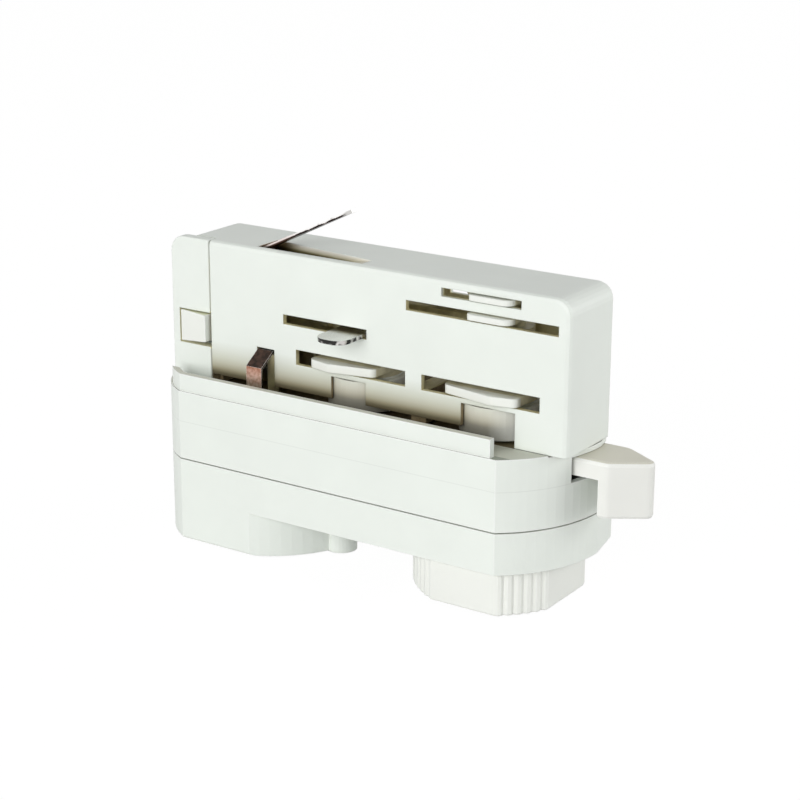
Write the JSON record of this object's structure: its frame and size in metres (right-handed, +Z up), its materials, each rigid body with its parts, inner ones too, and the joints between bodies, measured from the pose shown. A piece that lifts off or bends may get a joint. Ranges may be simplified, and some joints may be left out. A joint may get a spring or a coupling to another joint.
{
  "type": "track light adapter",
  "caption": "Adapter that locks a lamp into a three-circuit lighting track, with a swing lever, rotating contacts and a circuit selector dial.",
  "frame": {"origin": "on the seating plane, the top of the base, at the middle of the base's length and width", "axes": "+Z up into the track, +X along the track towards the locking lever"},
  "size_m": [0.1149, 0.0342, 0.077],
  "materials": {
    "cream": "satin moulded",
    "light": "satin moulded",
    "white": "semi-gloss moulded",
    "dark": "matt moulded",
    "silver": "plated",
    "copper": "rolled strip",
    "steel": "bright"
  },
  "bodies": {
    "frame_body": {"contact_housing": "cream", "latch_plate": "cream", "base_body": "cream", "lower_cover": "cream", "terminal_block": "dark", "terminal_screw_1": "steel", "terminal_screw_2": "steel", "terminal_screw_3": "steel", "neutral_feed": "copper", "phase_feed": "copper", "earth_feed": "copper", "stem_nut": "steel", "cover_screw_front": "steel", "cover_screw_rear": "steel", "housing_screw_left": "steel", "housing_screw_middle": "steel"},
    "lever": {"locking_lever": "light", "right_rotor": "white"},
    "left_turner": {"left_rotor": "white", "left_pinion": "light", "neutral_contact": "silver", "neutral_washer": "steel"},
    "rack": {"rack_bar": "dark"},
    "selector": {"selector_dial": "white", "selector_shaft": "steel", "selector_cam": "white", "phase_contact": "silver", "dial_screw": "steel"},
    "leaf": {"top_leaf_spring": "steel"},
    "earth": {"earth_contact": "copper"},
    "catch": {"snap_catch": "light"}
  },
  "joints": [
    {"name": "lever_turn", "type": "hinge", "parent": "frame_body", "child": "lever", "pos_m": [0.0308, 0, -0.0033], "axis": [0, 0, 1], "range_deg": [0, 90]},
    {"name": "left_rotor_turn", "type": "hinge", "parent": "frame_body", "child": "left_turner", "pos_m": [-0.0019, 0, -0.0033], "axis": [0, 0, 1], "range_deg": [-90, 0]},
    {"name": "rack_slide", "type": "slide", "parent": "frame_body", "child": "rack", "axis": [1, 0, 0], "range_m": [-0.0095, 0]},
    {"name": "selector_turn", "type": "hinge", "parent": "frame_body", "child": "selector", "pos_m": [0.0308, 0, -0.029], "axis": [0, 0, 1], "range_deg": [-90, 90]},
    {"name": "leaf_press", "type": "hinge", "parent": "frame_body", "child": "leaf", "pos_m": [-0.0255, -0.004, 0.0305], "axis": [0, 1, 0], "range_deg": [0, 20], "stiffness_Nm_per_rad": 0.1},
    {"name": "earth_press", "type": "slide", "parent": "frame_body", "child": "earth", "axis": [0, 1, 0], "range_m": [0, 0.0035], "stiffness_N_per_m": 300},
    {"name": "catch_press", "type": "hinge", "parent": "frame_body", "child": "catch", "pos_m": [-0.0456, -0.0081, 0.012], "axis": [0, 0, 1], "range_deg": [0, 11], "stiffness_Nm_per_rad": 0.2}
  ],
  "couplings": [
    {"joint": "left_rotor_turn", "follows": "lever_turn", "ratio": -1},
    {"joint": "rack_slide", "follows": "lever_turn", "m_per_rad": -0.006}
  ]
}
